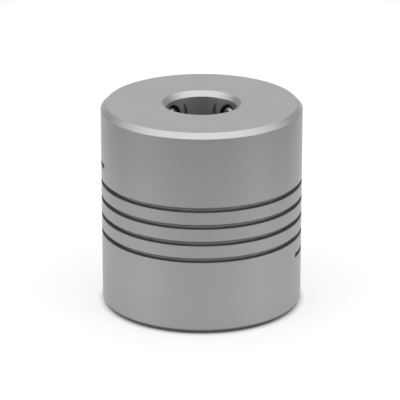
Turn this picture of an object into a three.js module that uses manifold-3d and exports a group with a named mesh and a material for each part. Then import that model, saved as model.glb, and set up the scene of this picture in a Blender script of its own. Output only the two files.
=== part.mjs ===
// Helical beam coupling with set screws, for joining two 10 mm shafts end to end.
//
// The real coupling is one bar of aluminium. A narrow slot winds round it and cuts right through to
// the bore, which leaves a flat spring of 3.6 turns, the beam, between two solid hubs. The slot lies
// level round the front and steps down by one pitch round the back. Here the bar is divided where the
// beam passes the back, and where it joins each hub, so that every turn can move against the next.
// Units are millimetres. +Z is the shaft axis, z = 0 is the lower end face, and -Y is the front.
// An azimuth is in degrees from the front, positive towards +X.

import * as THREE from 'three';
import { mergeVertices } from 'three/addons/utils/BufferGeometryUtils.js';
import Module from 'manifold-3d';

const wasm = await Module();
wasm.setup();

// Body
const OUTER_RADIUS = 14.3;
const LENGTH = 29.55;
const EDGE_CHAMFER = 0.73;
const BORE_RADIUS = 5;
const BORE_CHAMFER_WIDTH = 0.65;
const BORE_CHAMFER_DEPTH = 0.74;
const RELIEF_RADIUS = 6.7; // wider bore behind the beam, so that no shaft end touches it
const RELIEF_CONE = 1; // height of the step from the shaft bore to the relief bore
const RELIEF_MARGIN = 0.5; // how far the relief bore runs past the slots

// Slot
const SLOT_WIDTH = 0.72;
const SLOT_PITCH = 2.47; // between the four levels that cross the front
const END_PITCH = 2.725; // from the outermost of those to the first and last level
const SLOT_TOP_END = -73.5; // azimuth where the slot ends under the upper hub
const SLOT_BOTTOM_END = 68; // azimuth where it ends over the lower hub
const RAMP_START = 80; // azimuth, either side of the front, where the slot starts to step down

// Cuts that divide the bar
const TURN_GAP = 1.3; // degrees either side of the back
const ROOT_GAP = 2.6; // degrees between a hub and the beam's root

// Set screws: M4, two in each hub
const SCREW_RADIUS = 1.95;
const SCREW_HOLE_RADIUS = 2.05;
const SCREW_LENGTH = 6;
const SCREW_CUP_RADIUS = 0.8;
const SCREW_CUP_DEPTH = 0.5;
const SCREW_RIM_RADIUS = 0.87; // of the cup's rim, outside
const SCREW_POINT_RADIUS = 1.15; // where the point's short cone ends
const SCREW_NECK_RADIUS = 1.4; // where the slim neck behind it ends
const SCREW_NECK_LENGTH = 1.15; // from the point to there
const SCREW_TOP_CHAMFER = 0.3;
const SOCKET_ACROSS_FLATS = 2;
const SOCKET_DEPTH = 2.4;
const SCREW_INSET = 3; // from a hub's end face to the screw's axis
const SCREW_PROUD = 0.22; // how far a screw's point stands out of the wall of the shaft bore
const SCREW_AZIMUTHS = { left: -123.5, right: 129 };

// Fineness
const ROUND_SEGMENTS = 72;
const SCREW_SEGMENTS = 32;
const WALL_STEP = 5; // degrees of wall to one facet
const FRONT = -Math.PI / 2; // angle of the front in the XY plane
const OVERSHOOT = 2; // how far a cutting tool runs past the metal
const CUT_OVERLAP = 1; // degrees by which two cuts that meet run into each other

// Level 0 is the highest and level 5 the lowest: their heights at the front.
const TOP_LEVEL = LENGTH / 2 + 1.5 * SLOT_PITCH;
const LEVELS = [TOP_LEVEL + END_PITCH];
for (let k = 0; k < 4; k++) LEVELS.push(TOP_LEVEL - k * SLOT_PITCH);
LEVELS.push(LEVELS[4] - END_PITCH);

const aluminium = () => new THREE.MeshStandardMaterial({ color: 0x9b9c9a, roughness: 0.45, metalness: 1 });
const steel = () => new THREE.MeshStandardMaterial({ color: 0x8f8b84, roughness: 0.3, metalness: 1 });

// Height of the slot's middle on one level. It falls halfway to the next level towards the back on
// the left, and comes from halfway to the level above on the right.
function slotHeight(level, azimuth) {
  const beyond = (Math.abs(azimuth) - RAMP_START) / (180 - RAMP_START);
  if (beyond <= 0) return LEVELS[level];
  const neighbour = LEVELS[azimuth < 0 ? level + 1 : level - 1];
  const share = (1 - Math.cos((beyond * Math.PI) / 2)) / 2;
  return THREE.MathUtils.lerp(LEVELS[level], neighbour, share);
}

const slotRoof = (level) => (azimuth) => slotHeight(level, azimuth) + SLOT_WIDTH / 2;
const slotFloor = (level) => (azimuth) => slotHeight(level, azimuth) - SLOT_WIDTH / 2;
const constant = (height) => () => height;

// A length of curved wall: a box bent round the axis, with a bottom and a top that follow the azimuth.
function bentBox(from, to, innerRadius, outerRadius, bottom, top) {
  const steps = Math.ceil((to - from) / WALL_STEP);
  const geometry = new THREE.BoxGeometry(1, 1, 1, steps, 1, 1);
  const position = geometry.attributes.position;
  for (let i = 0; i < position.count; i++) {
    const azimuth = THREE.MathUtils.lerp(from, to, position.getX(i) + 0.5);
    const radius = position.getY(i) < 0 ? outerRadius : innerRadius;
    const height = position.getZ(i) < 0 ? bottom(azimuth) : top(azimuth);
    const angle = FRONT + THREE.MathUtils.degToRad(azimuth);
    position.setXYZ(i, radius * Math.cos(angle), radius * Math.sin(angle), height);
  }
  return geometry;
}

function toSolid(geometry) {
  const bare = geometry.clone();
  bare.deleteAttribute('normal');
  bare.deleteAttribute('uv');
  const merged = mergeVertices(bare, 1e-5);
  const vertProperties = new Float32Array(merged.attributes.position.array);
  const triVerts = new Uint32Array(merged.index.array);
  return new wasm.Manifold(new wasm.Mesh({ numProp: 3, vertProperties, triVerts }));
}

function toGeometry(solid) {
  const { vertProperties, triVerts } = solid.getMesh();
  const geometry = new THREE.BufferGeometry();
  geometry.setAttribute('position', new THREE.BufferAttribute(vertProperties, 3));
  geometry.setIndex(new THREE.BufferAttribute(triVerts, 1));
  geometry.computeVertexNormals();
  return geometry;
}

// A solid of revolution about +Z from [radius, height] corners.
function turned(corners, segments) {
  const points = corners.map(([radius, height]) => new THREE.Vector2(radius, height));
  return new THREE.LatheGeometry([...points, points[0].clone()], segments).rotateX(Math.PI / 2);
}

// The upper end of the bar as a plain turned tube, from the middle of the coupling to its end face.
function hubBlank() {
  const reliefTop = LEVELS[0] + SLOT_WIDTH / 2 + RELIEF_MARGIN;
  return turned(
    [
      [RELIEF_RADIUS, LENGTH / 2],
      [OUTER_RADIUS, LENGTH / 2],
      [OUTER_RADIUS, LENGTH - EDGE_CHAMFER],
      [OUTER_RADIUS - EDGE_CHAMFER, LENGTH],
      [BORE_RADIUS + BORE_CHAMFER_WIDTH, LENGTH],
      [BORE_RADIUS, LENGTH - BORE_CHAMFER_DEPTH],
      [BORE_RADIUS, reliefTop + RELIEF_CONE],
      [RELIEF_RADIUS, reliefTop],
    ],
    ROUND_SEGMENTS,
  );
}

// A cylinder along the axis of a set screw, from the shaft axis outwards.
function screwHole(azimuth, height) {
  const reach = OUTER_RADIUS + OVERSHOOT;
  return new THREE.CylinderGeometry(SCREW_HOLE_RADIUS, SCREW_HOLE_RADIUS, reach, SCREW_SEGMENTS)
    .rotateZ(-Math.PI / 2)
    .translate(reach / 2, 0, 0)
    .rotateZ(FRONT + THREE.MathUtils.degToRad(azimuth))
    .translate(0, 0, height);
}

// A hub: the turned blank, less its screw holes and whatever lies past the slot.
function hub(blank, waste, screwHeight) {
  let solid = toSolid(blank);
  for (const geometry of waste) solid = solid.subtract(toSolid(geometry));
  for (const azimuth of Object.values(SCREW_AZIMUTHS)) {
    solid = solid.subtract(toSolid(screwHole(azimuth, screwHeight)));
  }
  return toGeometry(solid);
}

// Everything under the slot: under level 1 from the slot's end round the front to the back, and under
// level 0 from there on.
function upperHub() {
  const inner = RELIEF_RADIUS - OVERSHOOT;
  const outer = OUTER_RADIUS + OVERSHOOT;
  const bottom = constant(LENGTH / 2 - OVERSHOOT);
  const waste = [
    bentBox(SLOT_TOP_END - CUT_OVERLAP, 180, inner, outer, bottom, slotRoof(1)),
    bentBox(-180 - CUT_OVERLAP, SLOT_TOP_END, inner, outer, bottom, slotRoof(0)),
  ];
  return hub(hubBlank(), waste, LENGTH - SCREW_INSET);
}

// The same at the other end: everything over level 4 up to the slot's end, and over level 5 past it.
function lowerHub() {
  const inner = RELIEF_RADIUS - OVERSHOOT;
  const outer = OUTER_RADIUS + OVERSHOOT;
  const top = constant(LENGTH / 2 + OVERSHOOT);
  const waste = [
    bentBox(-180, SLOT_BOTTOM_END + CUT_OVERLAP, inner, outer, slotFloor(4), top),
    bentBox(SLOT_BOTTOM_END, 180 + CUT_OVERLAP, inner, outer, slotFloor(5), top),
  ];
  const blank = hubBlank().rotateY(Math.PI).translate(0, 0, LENGTH);
  return hub(blank, waste, SCREW_INSET);
}

// One length of the beam, between the slot's floor on one level and its roof on the next.
function beam(level, from, to) {
  return bentBox(from, to, RELIEF_RADIUS, OUTER_RADIUS, slotRoof(level + 1), slotFloor(level));
}

const upperRoot = () => beam(0, TURN_GAP - 180, SLOT_TOP_END - ROOT_GAP);
const lowerRoot = () => beam(4, SLOT_BOTTOM_END + ROOT_GAP, 180 - TURN_GAP);
const turn = (level) => beam(level, TURN_GAP - 180, 180 - TURN_GAP);

// A set screw along +Z with its cup point at z = 0 and its hexagon socket at the other end.
function setScrew() {
  const blank = turned(
    [
      [0, SCREW_CUP_DEPTH],
      [SCREW_CUP_RADIUS, 0],
      [SCREW_RIM_RADIUS, 0],
      [SCREW_POINT_RADIUS, SCREW_POINT_RADIUS - SCREW_RIM_RADIUS],
      [SCREW_NECK_RADIUS, SCREW_NECK_LENGTH],
      [SCREW_RADIUS, SCREW_NECK_LENGTH + SCREW_RADIUS - SCREW_NECK_RADIUS],
      [SCREW_RADIUS, SCREW_LENGTH - SCREW_TOP_CHAMFER],
      [SCREW_RADIUS - SCREW_TOP_CHAMFER, SCREW_LENGTH],
      [0, SCREW_LENGTH],
    ],
    SCREW_SEGMENTS,
  );
  const cornerRadius = SOCKET_ACROSS_FLATS / Math.sqrt(3);
  const socketLength = SOCKET_DEPTH + OVERSHOOT;
  const socket = new THREE.CylinderGeometry(cornerRadius, cornerRadius, socketLength, 6)
    .rotateX(Math.PI / 2)
    .translate(0, 0, SCREW_LENGTH - SOCKET_DEPTH + socketLength / 2);
  return toGeometry(toSolid(blank).subtract(toSolid(socket)));
}

const coupling = new THREE.Group();

function addPiece(name, geometry, material) {
  const mesh = new THREE.Mesh(geometry, material);
  mesh.name = name;
  coupling.add(mesh);
  return mesh;
}

// A set screw lies along its radius, with its point just inside the shaft bore.
function addSetScrew(name, azimuth, height) {
  const screw = addPiece(name, setScrew(), steel());
  const angle = FRONT + THREE.MathUtils.degToRad(azimuth);
  const outward = new THREE.Vector3(Math.cos(angle), Math.sin(angle), 0);
  screw.quaternion.setFromUnitVectors(new THREE.Vector3(0, 0, 1), outward);
  screw.position.copy(outward.multiplyScalar(BORE_RADIUS - SCREW_PROUD)).setZ(height);
}

addPiece('upper_hub', upperHub(), aluminium());
addPiece('upper_beam_root', upperRoot(), aluminium());
addPiece('upper_beam_turn', turn(1), aluminium());
addPiece('middle_beam_turn', turn(2), aluminium());
addPiece('lower_beam_turn', turn(3), aluminium());
addPiece('lower_beam_root', lowerRoot(), aluminium());
addPiece('lower_hub', lowerHub(), aluminium());
for (const [side, azimuth] of Object.entries(SCREW_AZIMUTHS)) {
  addSetScrew(`upper_${side}_set_screw`, azimuth, LENGTH - SCREW_INSET);
  addSetScrew(`lower_${side}_set_screw`, azimuth, SCREW_INSET);
}

export default coupling;
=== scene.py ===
import math

import bmesh
import bpy
from mathutils import Matrix, Vector


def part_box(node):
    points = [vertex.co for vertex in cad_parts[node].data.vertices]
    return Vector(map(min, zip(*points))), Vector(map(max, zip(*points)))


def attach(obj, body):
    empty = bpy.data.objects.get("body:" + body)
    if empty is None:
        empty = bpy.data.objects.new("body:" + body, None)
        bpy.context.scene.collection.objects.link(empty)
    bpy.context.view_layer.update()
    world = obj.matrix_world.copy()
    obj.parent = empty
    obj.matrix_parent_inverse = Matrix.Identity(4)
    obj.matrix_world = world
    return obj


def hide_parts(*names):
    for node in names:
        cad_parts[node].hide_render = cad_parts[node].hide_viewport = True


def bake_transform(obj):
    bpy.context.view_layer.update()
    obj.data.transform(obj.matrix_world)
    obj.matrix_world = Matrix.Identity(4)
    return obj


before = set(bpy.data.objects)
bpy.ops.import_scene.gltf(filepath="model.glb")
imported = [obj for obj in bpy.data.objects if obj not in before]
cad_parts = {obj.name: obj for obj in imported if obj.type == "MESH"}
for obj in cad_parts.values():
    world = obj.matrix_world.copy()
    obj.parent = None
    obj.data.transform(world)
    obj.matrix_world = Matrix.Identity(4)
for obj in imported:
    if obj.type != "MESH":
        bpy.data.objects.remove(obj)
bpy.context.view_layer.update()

# A helical beam coupling: one aluminium bar, cut by a winding slot into two hubs and a flat spring,
# with two M4 set screws in each hub. Shapes are made in millimetres and scaled to metres at the end.
# An azimuth is in degrees from the front (-Y), positive towards +X.

MM = 0.001

# ---------------------------------------------------------------- sizes, in millimetres and degrees

HIGHEST_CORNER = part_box("upper_hub")[1]
OUTER_RADIUS = HIGHEST_CORNER.x / MM
LENGTH = HIGHEST_CORNER.z / MM
EDGE_CHAMFER = 0.73
BORE_RADIUS = 5.0
BORE_CHAMFER_WIDTH = 0.65
BORE_CHAMFER_DEPTH = 0.74
CORNER_BREAK = 0.03
RELIEF_RADIUS = 6.7  # of the wider bore behind the beam
RELIEF_CONE = 1.0
RELIEF_MARGIN = 0.5  # how far the relief goes on past the slot

SLOT_WIDTH = 0.72
SLOT_PITCH = 2.47
END_PITCH = 2.725
SLOT_TOP_END = -73.5
SLOT_BOTTOM_END = 68.0
RAMP_START = 80.0  # azimuth, either side, from which the slot climbs round the back
TOP_LEVEL = LENGTH / 2 + 1.5 * SLOT_PITCH
FRONT_LEVELS = [TOP_LEVEL - k * SLOT_PITCH for k in range(4)]
LEVELS = [TOP_LEVEL + END_PITCH, *FRONT_LEVELS, FRONT_LEVELS[-1] - END_PITCH]
LAST_LEVEL = len(LEVELS) - 1

THREAD_PITCH = 0.7
THREAD_CLEARANCE = 0.06
THREAD_PROFILE = [0, 0, 1 / 3, 2 / 3, 1, 1, 2 / 3, 1 / 3]  # over one pitch, from root (0) to crest (1)
THREAD_SPARE = 0.5  # thread made beyond each end of a screw, and trimmed off
SCREW_CREST = 1.97
SCREW_ROOT = 1.6
SCREW_LENGTH = 6.0
SCREW_POINT_RADIUS = 1.15
SCREW_POINT_BREAK = 0.03
SCREW_NECK_RADIUS = 1.4
SCREW_NECK_LENGTH = 1.15
SCREW_CUP_RADIUS = 0.8
SCREW_CUP_DEPTH = 0.5
SCREW_HEAD_BEVEL = 0.5
SCREW_MARGIN = 0.2  # how far outside the crest a screw's envelope runs
SOCKET_ACROSS_FLATS = 2.0
SOCKET_DEPTH = 2.4
SOCKET_CONE = 0.4
SCREW_INSET = 3.0  # from the end face to the screw's axis
SCREW_PROUD = 0.22  # how far the point stands out of the bore wall
SCREW_AZIMUTHS = {"left": -123.5, "right": 129.0}
HOLE_COUNTERSINK = 0.3
SPOT_FACE_RADIUS = 2.7
SPOT_FACE_INSET = 0.48
THREAD_START = 0.25  # how far from the bore wall the threads of a screw hole begin
TOOL_REACH = 1.0  # how far the tools of a screw hole or a socket run on past the surface

ROUND_SEGMENTS = 360
FINE_SEGMENTS = 96  # of the spot faces and the screws' ends
COUNTERSINK_SEGMENTS = 64
THREAD_SEGMENTS = 48
SOCKET_SIDES = 6
SLOT_END_STEPS = 8
RADIAL_STEPS = 8
WALL_STEP = 1.5  # degrees between the columns of a curved wall
SMOOTH_ANGLE = 13
BEAM_SEAM = 130.0  # azimuth, either side, where the front of a turn meets its bend round the back
OVERSHOOT = 2.0  # how far cuts run on past the walls
CUT_OVERLAP = 1.0  # degrees by which neighbouring cuts run into each other
TOLERANCE = 0.05
BORE_MARGIN = 0.5  # how far outside the bore's radius a face still counts as the bore's wall
FACING = 0.5  # a face counts as looking outwards or inwards when its normal does by this share
FACING_BORE = 0.85


# ---------------------------------------------------------------- camera, light and floor

# The place is in outer radii from the middle of the lower end face, the pitch in degrees, the lens
# and sensor in millimetres, and the clip end in metres
CAMERA_PLACE = (-0.0163, -25.91, 10.4445)
CAMERA_PITCH_DOWN = 19.95
CAMERA_LENS = 247.67
CAMERA_SENSOR = 36.0
CAMERA_CLIP_END = 20.0


def set_camera():
    data = bpy.data.cameras.new("camera")
    data.sensor_width = CAMERA_SENSOR
    data.lens = CAMERA_LENS
    data.clip_end = CAMERA_CLIP_END
    camera = bpy.data.objects.new("camera", data)
    radius = OUTER_RADIUS * MM
    camera.location = [radii * radius for radii in CAMERA_PLACE]
    camera.rotation_euler = (math.radians(90 - CAMERA_PITCH_DOWN), 0, 0)
    bpy.context.collection.objects.link(camera)
    bpy.context.scene.camera = camera


# Each list is of (position, grey) stops. SKY_ROUND is the sky low down, from the front (0) past
# the sides (0.5) to the back (1). From that the sky goes over to SKY_WHITE with the height, whose
# sine is the position in SKY_CLIMB, and also in a band close to the horizon at the back: SKY_BAND
# gives it against the same sine, and SKY_BAND_ROUND against the way from the front to the back.
SKY_ROUND = [(0.0, 0.0), (0.14, 0.1), (0.28, 1.7), (0.46, 0.2), (0.75, 0.09), (0.95, 0.256)]
SKY_CLIMB = [(0.0, 0.0), (0.33, 0.02), (0.8, 0.84), (1.0, 0.9)]
SKY_BAND = [(0.0, 0.9), (0.16, 0.0)]
SKY_BAND_ROUND = [(0.7, 0.0), (0.88, 1.0)]
SKY_WHITE = (0.935, 0.968, 0.975)
SKY_STRENGTH = 2.35
FLOOR_SIZE = 6.0
FLOOR_COLOUR = 0.30
FLOOR_ROUGHNESS = 0.9
FLOOR_SHINE = 0.1
FLOOR_GLOW = 0.56
# The floor glows in a patch that is longer than it is wide, and not right under the object. Both
# lists of stops run from 0 to GLOW_REACH, in metres: GLOW_AROUND from the object's axis, and
# GLOW_PATCH from GLOW_MIDDLE metres behind it, with widths counted GLOW_NARROWING times.
GLOW_REACH = 0.16
GLOW_MIDDLE = 0.05
GLOW_NARROWING = 1.65
GLOW_AROUND = [(0.0, 0.0), (0.085, 0.0), (0.093, 1.0), (1.0, 1.0)]
GLOW_PATCH = [(0.0, 1.0), (0.68, 1.0), (1.0, 0.1)]


def grey_ramp(nodes, links, source, stops):
    node = nodes.new("ShaderNodeValToRGB")
    ramp = node.color_ramp
    ramp.interpolation = "EASE"
    while len(ramp.elements) < len(stops):
        ramp.elements.new(0.5)
    for element, (position, value) in zip(ramp.elements, stops):
        element.position = position
        element.color = (value, value, value, 1)
    links.new(source, node.inputs[0])
    return node.outputs["Color"]


def set_world():
    """A soft studio: bright high up and to both sides, dim behind over a pale horizon, dark in front."""
    world = bpy.data.worlds.new("studio")
    bpy.context.scene.world = world
    world.use_nodes = True
    nodes, links = world.node_tree.nodes, world.node_tree.links
    nodes.clear()
    place = nodes.new("ShaderNodeTexCoord")
    split = nodes.new("ShaderNodeSeparateXYZ")
    links.new(place.outputs["Generated"], split.inputs[0])
    height = split.outputs["Z"]
    turn = nodes.new("ShaderNodeMapRange")
    turn.inputs["From Min"].default_value = -1.0
    links.new(split.outputs["Y"], turn.inputs["Value"])
    way_round = turn.outputs["Result"]
    band = nodes.new("ShaderNodeMath")
    band.operation = "MULTIPLY"
    links.new(grey_ramp(nodes, links, height, SKY_BAND), band.inputs[0])
    links.new(grey_ramp(nodes, links, way_round, SKY_BAND_ROUND), band.inputs[1])
    colour = grey_ramp(nodes, links, way_round, SKY_ROUND)
    for share in (grey_ramp(nodes, links, height, SKY_CLIMB), band.outputs["Value"]):
        mix = nodes.new("ShaderNodeMix")
        mix.data_type = "RGBA"
        mix.inputs["B"].default_value = (*SKY_WHITE, 1)
        links.new(share, mix.inputs["Factor"])
        links.new(colour, mix.inputs["A"])
        colour = mix.outputs["Result"]
    background = nodes.new("ShaderNodeBackground")
    background.inputs["Strength"].default_value = SKY_STRENGTH
    output = nodes.new("ShaderNodeOutputWorld")
    links.new(colour, background.inputs["Color"])
    links.new(background.outputs["Background"], output.inputs["Surface"])


def glow_share(nodes, links, place, middle, narrowing, stops):
    """A ramp over the distance from a point on the Y axis, with widths counted narrowing times."""
    patch = nodes.new("ShaderNodeMapping")
    patch.inputs["Location"].default_value = (0, -middle, 0)
    patch.inputs["Scale"].default_value = (narrowing, 1, 1)
    links.new(place, patch.inputs["Vector"])
    distance = nodes.new("ShaderNodeVectorMath")
    distance.operation = "LENGTH"
    links.new(patch.outputs["Vector"], distance.inputs[0])
    share = nodes.new("ShaderNodeMapRange")
    share.inputs["From Max"].default_value = GLOW_REACH
    links.new(distance.outputs["Value"], share.inputs["Value"])
    return grey_ramp(nodes, links, share.outputs["Result"], stops)


def set_floor():
    """A pale table that glows a little, so that shadows on it stay short."""
    bpy.ops.mesh.primitive_plane_add(size=FLOOR_SIZE)
    floor = bpy.context.object
    floor.name = "floor"
    material = bpy.data.materials.new("floor_white")
    material.use_nodes = True
    shader = material.node_tree.nodes["Principled BSDF"]
    shader.inputs["Base Color"].default_value = (FLOOR_COLOUR, FLOOR_COLOUR, FLOOR_COLOUR, 1)
    shader.inputs["Roughness"].default_value = FLOOR_ROUGHNESS
    shader.inputs["Specular IOR Level"].default_value = FLOOR_SHINE
    shader.inputs["Emission Strength"].default_value = FLOOR_GLOW
    nodes, links = material.node_tree.nodes, material.node_tree.links
    place = nodes.new("ShaderNodeTexCoord").outputs["Object"]
    around = glow_share(nodes, links, place, 0.0, 1.0, GLOW_AROUND)
    patch = glow_share(nodes, links, place, GLOW_MIDDLE, GLOW_NARROWING, GLOW_PATCH)
    glow = nodes.new("ShaderNodeVectorMath")
    glow.operation = "MULTIPLY"
    links.new(around, glow.inputs[0])
    links.new(patch, glow.inputs[1])
    links.new(glow.outputs["Vector"], shader.inputs["Emission Color"])
    floor.data.materials.append(material)


bpy.context.scene.view_settings.view_transform = "Standard"
set_camera()
set_world()
set_floor()


# ---------------------------------------------------------------- shapes

def on_wall(radius, azimuth, height):
    angle = math.radians(azimuth - 90)
    return (radius * math.cos(angle), radius * math.sin(angle), height)


def mesh_object(name, points, faces):
    mesh = bpy.data.meshes.new(name)
    mesh.from_pydata(points, [], faces)
    piece = bpy.data.objects.new(name, mesh)
    bpy.context.collection.objects.link(piece)
    rebuilt = bmesh.new()
    rebuilt.from_mesh(mesh)
    bmesh.ops.recalc_face_normals(rebuilt, faces=rebuilt.faces)
    rebuilt.to_mesh(mesh)
    rebuilt.free()
    return piece


def swept(name, columns, closed):
    """A solid skin through equal rings of points, closed on itself or capped at both ends."""
    count = len(columns[0])
    points = [point for column in columns for point in column]
    faces = []
    for i in range(len(columns) if closed else len(columns) - 1):
        here, there = i * count, (i + 1) % len(columns) * count
        for j in range(count):
            k = (j + 1) % count
            faces.append((here + j, here + k, there + k, there + j))
    if not closed:
        faces.append(tuple(range(count)))
        faces.append(tuple(range(len(points) - count, len(points))))
    return mesh_object(name, points, faces)


def turned(name, corners, segments):
    """A ring-shaped solid of revolution about Z from (radius, height) corners."""
    step = 360 / segments
    columns = [[on_wall(r, i * step, z) for r, z in corners] for i in range(segments)]
    return swept(name, columns, True)


def turned_solid(name, corners, segments):
    """A solid of revolution whose first and last corners lie on the axis."""
    ring = [[on_wall(r, i * 360 / segments, z) for r, z in corners[1:-1]] for i in range(segments)]
    count = len(corners) - 2
    points = [p for column in ring for p in column] + [(0, 0, corners[0][1]), (0, 0, corners[-1][1])]
    first, last = len(points) - 2, len(points) - 1
    faces = []
    for i in range(segments):
        here, there = i * count, (i + 1) % segments * count
        faces.append((first, here, there))
        faces.append((last, there + count - 1, here + count - 1))
        for j in range(count - 1):
            faces.append((here + j, here + j + 1, there + j + 1, there + j))
    return mesh_object(name, points, faces)


def combine(piece, tool, operation):
    """Cuts or trims a piece by a boolean with a tool, which is used up."""
    modifier = piece.modifiers.new("boolean", "BOOLEAN")
    modifier.operation = operation
    modifier.solver = "MANIFOLD"
    modifier.object = tool
    graph = bpy.context.evaluated_depsgraph_get()
    result = bpy.data.meshes.new_from_object(piece.evaluated_get(graph))
    piece.modifiers.clear()
    old = piece.data
    piece.data = result
    bpy.data.meshes.remove(old)
    bpy.data.objects.remove(tool, do_unlink=True)


def slot_height(level, azimuth):
    """The height of the slot's middle. Past RAMP_START it climbs or falls half way to the next level."""
    beyond = (abs(azimuth) - RAMP_START) / (180 - RAMP_START)
    if beyond <= 0:
        return LEVELS[level]
    neighbour = LEVELS[level + 1 if azimuth < 0 else level - 1]
    share = (1 - math.cos(beyond * math.pi / 2)) / 2
    return LEVELS[level] + (neighbour - LEVELS[level]) * share


def slot_half_width(level, azimuth):
    """Half the slot's width, which closes to nothing round the cutter's radius at its two ends."""
    half = SLOT_WIDTH / 2
    from_end = {0: SLOT_TOP_END - azimuth, LAST_LEVEL: azimuth - SLOT_BOTTOM_END}.get(level)
    if from_end is None:
        return half
    run = math.radians(max(from_end, 0)) * OUTER_RADIUS
    return half if run >= half else math.sqrt(half**2 - (half - run) ** 2)


def roof(level, azimuth):
    return slot_height(level, azimuth) + slot_half_width(level, azimuth)


def ground(level, azimuth):
    return slot_height(level, azimuth) - slot_half_width(level, azimuth)


def azimuths(start, end):
    """Azimuths from start to end, with extra ones where a slot's round end needs them."""
    steps = max(1, math.ceil((end - start) / WALL_STEP))
    found = [start + (end - start) * i / steps for i in range(steps + 1)]
    cutter_reach = math.degrees(SLOT_WIDTH / 2 / OUTER_RADIUS)
    for tip, way in ((SLOT_TOP_END, -1), (SLOT_BOTTOM_END, 1)):
        for k in range(1, SLOT_END_STEPS + 1):
            azimuth = tip + way * cutter_reach * (1 - math.cos(k / SLOT_END_STEPS * math.pi / 2))
            if start < azimuth < end:
                found.append(azimuth)
    return sorted(found)


def wall_column(azimuth, inner, outer, low, high, radial_steps):
    """A ring of points round the wall's section at one azimuth."""
    radii = [inner + (outer - inner) * i / radial_steps for i in range(radial_steps + 1)]
    bottom = [on_wall(r, azimuth, low) for r in radii]
    top = [on_wall(r, azimuth, high) for r in reversed(radii)]
    return bottom + top


def thread(name, root, crest, start, end):
    """A helical thread about Z. Its rows run along the helix, so its flanks stay clean."""
    pitch_rows, around = len(THREAD_PROFILE), THREAD_SEGMENTS
    rise = THREAD_PITCH / pitch_rows
    first = math.floor(start / rise) - pitch_rows
    rows = math.ceil(end / rise) - first
    points = []
    for i in range(rows + 1):
        radius = root + (crest - root) * THREAD_PROFILE[(first + i) % pitch_rows]
        for j in range(around):
            angle = 2 * math.pi * j / around
            height = (first + i + pitch_rows * j / around) * rise
            points.append((radius * math.cos(angle), radius * math.sin(angle), height))
    faces = []
    for i in range(rows):
        for j in range(around - 1):
            here = i * around + j
            faces.append((here, here + 1, here + around + 1, here + around))
    # After one turn a row meets the row one pitch above it
    for i in range(rows - pitch_rows):
        here, there = i * around + around - 1, (i + pitch_rows) * around
        faces.append((here, there, there + around, here + around))
    # Each end is a fan over its first or last row and the step that one pitch leaves there
    low_end = list(range(around)) + [i * around for i in range(pitch_rows, 0, -1)]
    step = [(rows - pitch_rows + i) * around + around - 1 for i in range(pitch_rows)]
    high_end = step + [rows * around + around - 1 - j for j in range(around)]
    for loop, height in ((low_end, points[0][2]), (high_end, points[-1][2])):
        points.append((0, 0, height))
        centre = len(points) - 1
        for a, b in zip(loop, loop[1:] + loop[:1]):
            faces.append((centre, a, b))
    return mesh_object(name, points, faces)


def point_outwards(piece, azimuth, height):
    """Turns a piece made along +Z to lie along a radius, with its z = 0 at the bore wall."""
    outward = Vector(on_wall(1, azimuth, 0))
    turn = Vector((0, 0, 1)).rotation_difference(outward).to_matrix().to_4x4()
    piece.data.transform(Matrix.Translation(outward * BORE_RADIUS + Vector((0, 0, height))) @ turn)


def finish_piece(piece):
    """Scales to metres and smooths the round faces. Corner breaks keep their own flat facets."""
    piece.data.transform(Matrix.Scale(MM, 4))
    piece.data.shade_smooth()
    piece.data.set_sharp_from_angle(angle=math.radians(SMOOTH_ANGLE))
    piece.data.update()


# ---------------------------------------------------------------- materials

# Drifting colours and roughnesses go from lowest to highest between these values of the noise
NOISE_LOW = 0.3
NOISE_HIGH = 0.7

# Painted shade on the slot's outer lip. Its places are depths in millimetres below the outside, and its
# colour is the shade's
LIP_SHADE_START = 1.1
LIP_SHADE_FULL = 0.68
LIP_SHADE_COLOUR = (0.075, 0.075, 0.073)


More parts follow.
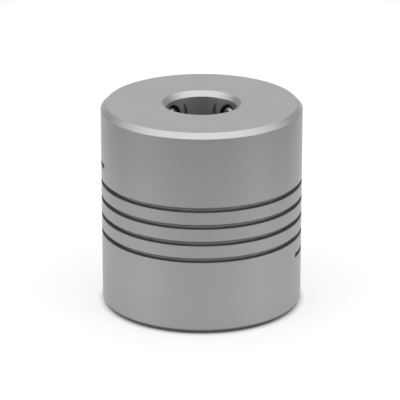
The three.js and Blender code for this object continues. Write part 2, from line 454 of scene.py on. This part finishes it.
class Surface:
    """A finish with its texture laid in the object's own frame, in metres."""

    def __init__(self, name, colour, metallic, roughness):
        self.material = bpy.data.materials.new(name)
        self.material.use_nodes = True
        self.nodes = self.material.node_tree.nodes
        self.links = self.material.node_tree.links
        self.shader = self.nodes["Principled BSDF"]
        self.shader.inputs["Base Color"].default_value = (*colour, 1)
        self.shader.inputs["Metallic"].default_value = metallic
        self.shader.inputs["Roughness"].default_value = roughness
        self.place = self.nodes.new("ShaderNodeTexCoord").outputs["Object"]
        self.colour, self.roughness = colour, roughness

    def noise(self, scale, detail=2.0, stretch=(1, 1, 1)):
        mapping = self.nodes.new("ShaderNodeMapping")
        mapping.inputs["Scale"].default_value = stretch
        self.links.new(self.place, mapping.inputs["Vector"])
        node = self.nodes.new("ShaderNodeTexNoise")
        node.inputs["Scale"].default_value = scale
        node.inputs["Detail"].default_value = detail
        self.links.new(mapping.outputs["Vector"], node.inputs["Vector"])
        return node.outputs["Fac"]

    def spread(self, source, low, high):
        node = self.nodes.new("ShaderNodeMapRange")
        node.inputs["From Min"].default_value = NOISE_LOW
        node.inputs["From Max"].default_value = NOISE_HIGH
        node.inputs["To Min"].default_value = low
        node.inputs["To Max"].default_value = high
        self.links.new(source, node.inputs["Value"])
        return node.outputs["Result"]

    def vary_colour(self, source, amount):
        """Lets the colour drift by a share either way, and gives the drifting colour's output."""
        mix = self.nodes.new("ShaderNodeMix")
        mix.data_type = "RGBA"
        mix.inputs["A"].default_value = (*(c * (1 - amount) for c in self.colour), 1)
        mix.inputs["B"].default_value = (*(c * (1 + amount) for c in self.colour), 1)
        self.links.new(self.spread(source, 0, 1), mix.inputs["Factor"])
        self.links.new(mix.outputs["Result"], self.shader.inputs["Base Color"])
        return mix.outputs["Result"]

    def vary_roughness(self, source, amount):
        value = self.spread(source, self.roughness - amount, self.roughness + amount)
        self.links.new(value, self.shader.inputs["Roughness"])

    def raise_grain(self, source, height):
        """Relief of the given height in metres."""
        node = self.nodes.new("ShaderNodeBump")
        node.inputs["Distance"].default_value = height
        self.links.new(source, node.inputs["Height"])
        self.links.new(node.outputs["Normal"], self.shader.inputs["Normal"])


def make_satin():
    """Clear anodising over a fine blasted finish."""
    surface = Surface("anodised_satin", (0.347, 0.344, 0.334), metallic=1.0, roughness=0.43)
    surface.vary_colour(surface.noise(scale=130), amount=0.012)
    grain = surface.noise(scale=9000, detail=3.0)
    surface.vary_roughness(grain, amount=0.03)
    surface.raise_grain(grain, height=1.2e-6)
    return surface.material


def paint_lip_shade(surface, colour):
    """Paints shade on the slot's outer lip: goes over to the shade's colour with the distance from the
    coupling's axis.
    """
    nodes, links = surface.nodes, surface.links
    flat = nodes.new("ShaderNodeVectorMath")
    flat.operation = "MULTIPLY"
    flat.inputs[1].default_value = (1, 1, 0)
    links.new(surface.place, flat.inputs[0])
    length = nodes.new("ShaderNodeVectorMath")
    length.operation = "LENGTH"
    links.new(flat.outputs["Vector"], length.inputs[0])
    lip = nodes.new("ShaderNodeMapRange")
    lip.inputs["From Min"].default_value = (OUTER_RADIUS - LIP_SHADE_START) * MM
    lip.inputs["From Max"].default_value = (OUTER_RADIUS - LIP_SHADE_FULL) * MM
    links.new(length.outputs["Value"], lip.inputs["Value"])
    dark = nodes.new("ShaderNodeMix")
    dark.data_type = "RGBA"
    dark.inputs["B"].default_value = (*LIP_SHADE_COLOUR, 1)
    links.new(lip.outputs["Result"], dark.inputs["Factor"])
    links.new(colour, dark.inputs["A"])
    links.new(dark.outputs["Result"], surface.shader.inputs["Base Color"])


def make_slot_metal():
    """The sawn faces of the slot: dull, with fine marks along the cut, and painted shade on the lip at the
    outside.
    """
    surface = Surface("slot_sawn_lip_shaded", (0.85, 0.85, 0.83), metallic=0.0, roughness=0.6)
    marks = surface.noise(scale=1500, stretch=(1, 1, 8))
    # Painted shade: the outer lip of the slot's faces turns dark over the saw marks, standing in for the
    # shade there
    paint_lip_shade(surface, surface.vary_colour(marks, amount=0.06))
    surface.raise_grain(marks, height=2e-6)
    return surface.material


def make_bore_metal():
    """Turned bore, with fine marks round it."""
    surface = Surface("bore_turned", (0.52, 0.52, 0.5), metallic=1.0, roughness=0.42)
    rings = surface.noise(scale=400, detail=3.0, stretch=(1, 1, 40))
    surface.vary_colour(rings, amount=0.04)
    surface.vary_roughness(rings, amount=0.05)
    surface.raise_grain(rings, height=1.5e-6)
    return surface.material


def make_thread_metal():
    """Tapped holes in the aluminium."""
    surface = Surface("tapped_aluminium", (0.25, 0.25, 0.245), metallic=1.0, roughness=0.4)
    marks = surface.noise(scale=2500)
    surface.vary_colour(marks, amount=0.06)
    surface.vary_roughness(marks, amount=0.05)
    surface.raise_grain(marks, height=1e-6)
    return surface.material


def make_steel():
    """Bare hardened steel, slightly warm."""
    surface = Surface("set_screw_steel", (0.27, 0.25, 0.223), metallic=1.0, roughness=0.42)
    stain = surface.noise(scale=1200, detail=3.0)
    surface.vary_colour(stain, amount=0.15)
    surface.vary_roughness(stain, amount=0.08)
    surface.raise_grain(surface.noise(scale=9000), height=1e-6)
    return surface.material


SATIN = make_satin()
SLOT_METAL = make_slot_metal()
BORE_METAL = make_bore_metal()
THREAD_METAL = make_thread_metal()
STEEL = make_steel()
BODY_FINISHES = [SATIN, SLOT_METAL, BORE_METAL, THREAD_METAL]


def from_screw_axis(place):
    """Distance from the axis of the nearest set screw, or the outer radius if none is nearer."""
    nearest = OUTER_RADIUS
    for azimuth in SCREW_AZIMUTHS.values():
        outward = Vector(on_wall(1, azimuth, 0))
        for height in (SCREW_INSET, LENGTH - SCREW_INSET):
            offset = place - Vector((0, 0, height))
            along = offset.dot(outward)
            if along > 0:
                nearest = min(nearest, (offset - outward * along).length)
    return nearest


def paint_body(piece):
    """Satin outside, and machined finishes in the slot, the bores and the screw holes."""
    piece.data.materials.clear()
    for material in BODY_FINISHES:
        piece.data.materials.append(material)
    for face in piece.data.polygons:
        place = face.center / MM
        radius = math.hypot(place.x, place.y)
        outward = face.normal.dot(Vector((place.x, place.y, 0)).normalized())
        at_end = min(place.z, LENGTH - place.z) < EDGE_CHAMFER + TOLERANCE
        at_outside = outward > FACING and radius > OUTER_RADIUS - EDGE_CHAMFER
        on_bore = outward < -FACING_BORE and radius < BORE_RADIUS + BORE_MARGIN
        if at_end or at_outside:
            finish = SATIN
        elif from_screw_axis(place) < SPOT_FACE_RADIUS + TOLERANCE and not on_bore:
            finish = THREAD_METAL
        elif outward < -FACING and radius < RELIEF_RADIUS + TOLERANCE:
            finish = BORE_METAL
        else:
            finish = SLOT_METAL
        face.material_index = BODY_FINISHES.index(finish)


# ---------------------------------------------------------------- hubs

def hub_blank(name):
    """The upper end of the bar as a turned tube, with its corners just broken."""
    relief_top = LEVELS[0] + SLOT_WIDTH / 2 + RELIEF_MARGIN
    along = CORNER_BREAK  # from a corner to where its break begins
    across = CORNER_BREAK / 3
    corners = [
        (RELIEF_RADIUS, LENGTH / 2),
        (OUTER_RADIUS, LENGTH / 2),
        (OUTER_RADIUS, LENGTH - EDGE_CHAMFER - along),
        (OUTER_RADIUS - across, LENGTH - EDGE_CHAMFER + across),
        (OUTER_RADIUS - EDGE_CHAMFER + across, LENGTH - across),
        (OUTER_RADIUS - EDGE_CHAMFER - along, LENGTH),
        (BORE_RADIUS + BORE_CHAMFER_WIDTH + along, LENGTH),
        (BORE_RADIUS + BORE_CHAMFER_WIDTH - across, LENGTH - across),
        (BORE_RADIUS + across, LENGTH - BORE_CHAMFER_DEPTH + across),
        (BORE_RADIUS, LENGTH - BORE_CHAMFER_DEPTH - along),
        (BORE_RADIUS, relief_top + RELIEF_CONE),
        (RELIEF_RADIUS, relief_top),
    ]
    return turned(name, corners, ROUND_SEGMENTS)


def hub_waste(start, end, edge, far):
    """A curved block to be cut from a hub, between the slot's edge and a far height."""
    inner, outer = RELIEF_RADIUS - OVERSHOOT, OUTER_RADIUS + OVERSHOOT
    columns = []
    for azimuth in azimuths(start, end):
        low, high = sorted((edge(azimuth), far))
        columns.append(wall_column(azimuth, inner, outer, low, high, 1))
    return swept("waste", columns, False)


def drill_screw_hole(piece, azimuth, height):
    """Drills, taps, countersinks and spot-faces one hole. Depths are from the bore wall outwards."""
    outside = OUTER_RADIUS - BORE_RADIUS
    far, base = outside + TOOL_REACH, -OVERSHOOT
    drilled, tapped = SCREW_ROOT + THREAD_CLEARANCE, SCREW_CREST + THREAD_CLEARANCE

    corners = [(0, base), (drilled, base), (drilled, far), (0, far)]
    drill = turned_solid("drill", corners, THREAD_SEGMENTS)

    tap = thread("tap", drilled, tapped, 0, far)
    wide = tapped + TOOL_REACH
    corners = [
        (0, THREAD_START),
        (drilled, THREAD_START),
        (wide, THREAD_START + wide - drilled),
        (wide, far + OVERSHOOT),
        (0, far + OVERSHOOT),
    ]
    combine(tap, turned_solid("run_in", corners, THREAD_SEGMENTS), "INTERSECT")

    wide = SCREW_CREST + HOLE_COUNTERSINK
    corners = [(0, outside - wide), (wide, outside), (wide + TOOL_REACH, far), (0, far)]
    countersink = turned_solid("countersink", corners, COUNTERSINK_SEGMENTS)

    face = -SPOT_FACE_INSET
    corners = [(0, face), (SPOT_FACE_RADIUS, face), (SPOT_FACE_RADIUS, base), (0, base)]
    spot_face = turned_solid("spot_face", corners, FINE_SEGMENTS)

    for tool in (drill, tap, countersink, spot_face):
        point_outwards(tool, azimuth, height)
        combine(piece, tool, "DIFFERENCE")


def make_hub(name, upper):
    piece = hub_blank(name)
    if upper:
        far = LENGTH / 2 - OVERSHOOT
        cuts = [
            (SLOT_TOP_END - CUT_OVERLAP, 180, lambda a: roof(1, a)),
            (-180 - CUT_OVERLAP, SLOT_TOP_END, lambda a: roof(0, a)),
        ]
    else:
        piece.data.transform(Matrix.Translation((0, 0, LENGTH)) @ Matrix.Rotation(math.pi, 4, "Y"))
        far = LENGTH / 2 + OVERSHOOT
        cuts = [
            (-180, SLOT_BOTTOM_END + CUT_OVERLAP, lambda a: ground(LAST_LEVEL - 1, a)),
            (SLOT_BOTTOM_END, 180 + CUT_OVERLAP, lambda a: ground(LAST_LEVEL, a)),
        ]
    for start, end, edge in cuts:
        combine(piece, hub_waste(start, end, edge, far), "DIFFERENCE")
    for azimuth in SCREW_AZIMUTHS.values():
        drill_screw_hole(piece, azimuth, LENGTH - SCREW_INSET if upper else SCREW_INSET)
    finish_piece(piece)
    paint_body(piece)
    body = "upper_hub" if upper else "lower_hub"
    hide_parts(body)
    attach(piece, body)


make_hub("upper_hub_body", True)
make_hub("lower_hub_body", False)


# ---------------------------------------------------------------- beam

# The beam's CAD nodes, from the top down. A node's place in the list is the slot's level above it,
# and the nodes between the two roots are whole turns.
BEAM_NODES = ["upper_beam_root", "upper_beam_turn", "middle_beam_turn", "lower_beam_turn", "lower_beam_root"]


def beam_column(level, azimuth):
    """The beam's section from the slot's ground on one level down to its roof on the next."""
    low, high = roof(level + 1, azimuth), ground(level, azimuth)
    return wall_column(azimuth, RELIEF_RADIUS, OUTER_RADIUS, low, high, RADIAL_STEPS)


def beam_length(name, level, start, end):
    columns = [beam_column(level, azimuth) for azimuth in azimuths(start, end)]
    return swept(name, columns, False)


def back_bend(name, level):
    """The beam's way round the back, from the left of one turn to the right of the turn below."""
    reach = 180 - BEAM_SEAM
    steps = math.ceil(reach / WALL_STEP)
    left = [beam_column(level, -BEAM_SEAM - reach * i / steps) for i in range(steps + 1)]
    right = [beam_column(level + 1, 180 - reach * i / steps) for i in range(1, steps + 1)]
    return swept(name, left + right, False)


def dress_beam(piece):
    finish_piece(piece)
    paint_body(piece)


for level in (1, 2, 3):
    node = BEAM_NODES[level]
    front = beam_length(node + "_front", level, -BEAM_SEAM, BEAM_SEAM)
    dress_beam(front)
    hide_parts(node)
    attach(front, node)

for level in range(len(BEAM_NODES) - 1):
    bend = back_bend(f"beam_bend_{level + 1}", level)
    dress_beam(bend)
    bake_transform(bend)

for node, hub, level, hub_end, seam in (
    ("upper_beam_root", "upper_hub", 0, SLOT_TOP_END, -BEAM_SEAM),
    ("lower_beam_root", "lower_hub", LAST_LEVEL - 1, SLOT_BOTTOM_END, BEAM_SEAM),
):
    root = beam_length(node + "_arm", level, min(hub_end, seam), max(hub_end, seam))
    dress_beam(root)
    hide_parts(node)
    height = LEVELS[level] * MM
    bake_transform(root)


# ---------------------------------------------------------------- set screws

def screw_envelope(point, head):
    """What is left of a threaded rod: cup point, bevel, slim neck, thread and bevelled head."""
    edge = SCREW_POINT_BREAK
    rim = SCREW_CUP_RADIUS + 3 * edge
    wide = SCREW_CREST + SCREW_MARGIN
    corners = [
        (0, point + SCREW_CUP_DEPTH),
        (SCREW_CUP_RADIUS, point + edge),
        (SCREW_CUP_RADIUS + edge, point),
        (SCREW_CUP_RADIUS + 2 * edge, point),
        (rim, point + edge),
        (SCREW_POINT_RADIUS, point + edge + SCREW_POINT_RADIUS - rim),
        (SCREW_NECK_RADIUS, point + SCREW_NECK_LENGTH),
        (wide, point + SCREW_NECK_LENGTH + wide - SCREW_NECK_RADIUS),
        (wide, head - SCREW_HEAD_BEVEL),
        (SCREW_ROOT, head),
        (0, head),
    ]
    return turned_solid("envelope", corners, FINE_SEGMENTS)


def hexagon_socket(head):
    corner = SOCKET_ACROSS_FLATS / math.sqrt(3)
    bottom, above = head - SOCKET_DEPTH, head + TOOL_REACH
    corners = [(0, bottom - SOCKET_CONE), (corner, bottom), (corner, above), (0, above)]
    return turned_solid("socket", corners, SOCKET_SIDES)


def make_set_screw(name, azimuth, height):
    point, head = -SCREW_PROUD, SCREW_LENGTH - SCREW_PROUD
    piece = thread(name + "_body", SCREW_ROOT, SCREW_CREST, point - THREAD_SPARE, head + THREAD_SPARE)
    combine(piece, screw_envelope(point, head), "INTERSECT")
    combine(piece, hexagon_socket(head), "DIFFERENCE")
    point_outwards(piece, azimuth, height)
    finish_piece(piece)
    piece.data.materials.clear()
    piece.data.materials.append(STEEL)
    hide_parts(name)
    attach(piece, name)


for hub, height in (("upper", LENGTH - SCREW_INSET), ("lower", SCREW_INSET)):
    for side, azimuth in SCREW_AZIMUTHS.items():
        make_set_screw(f"{hub}_{side}_set_screw", azimuth, height)
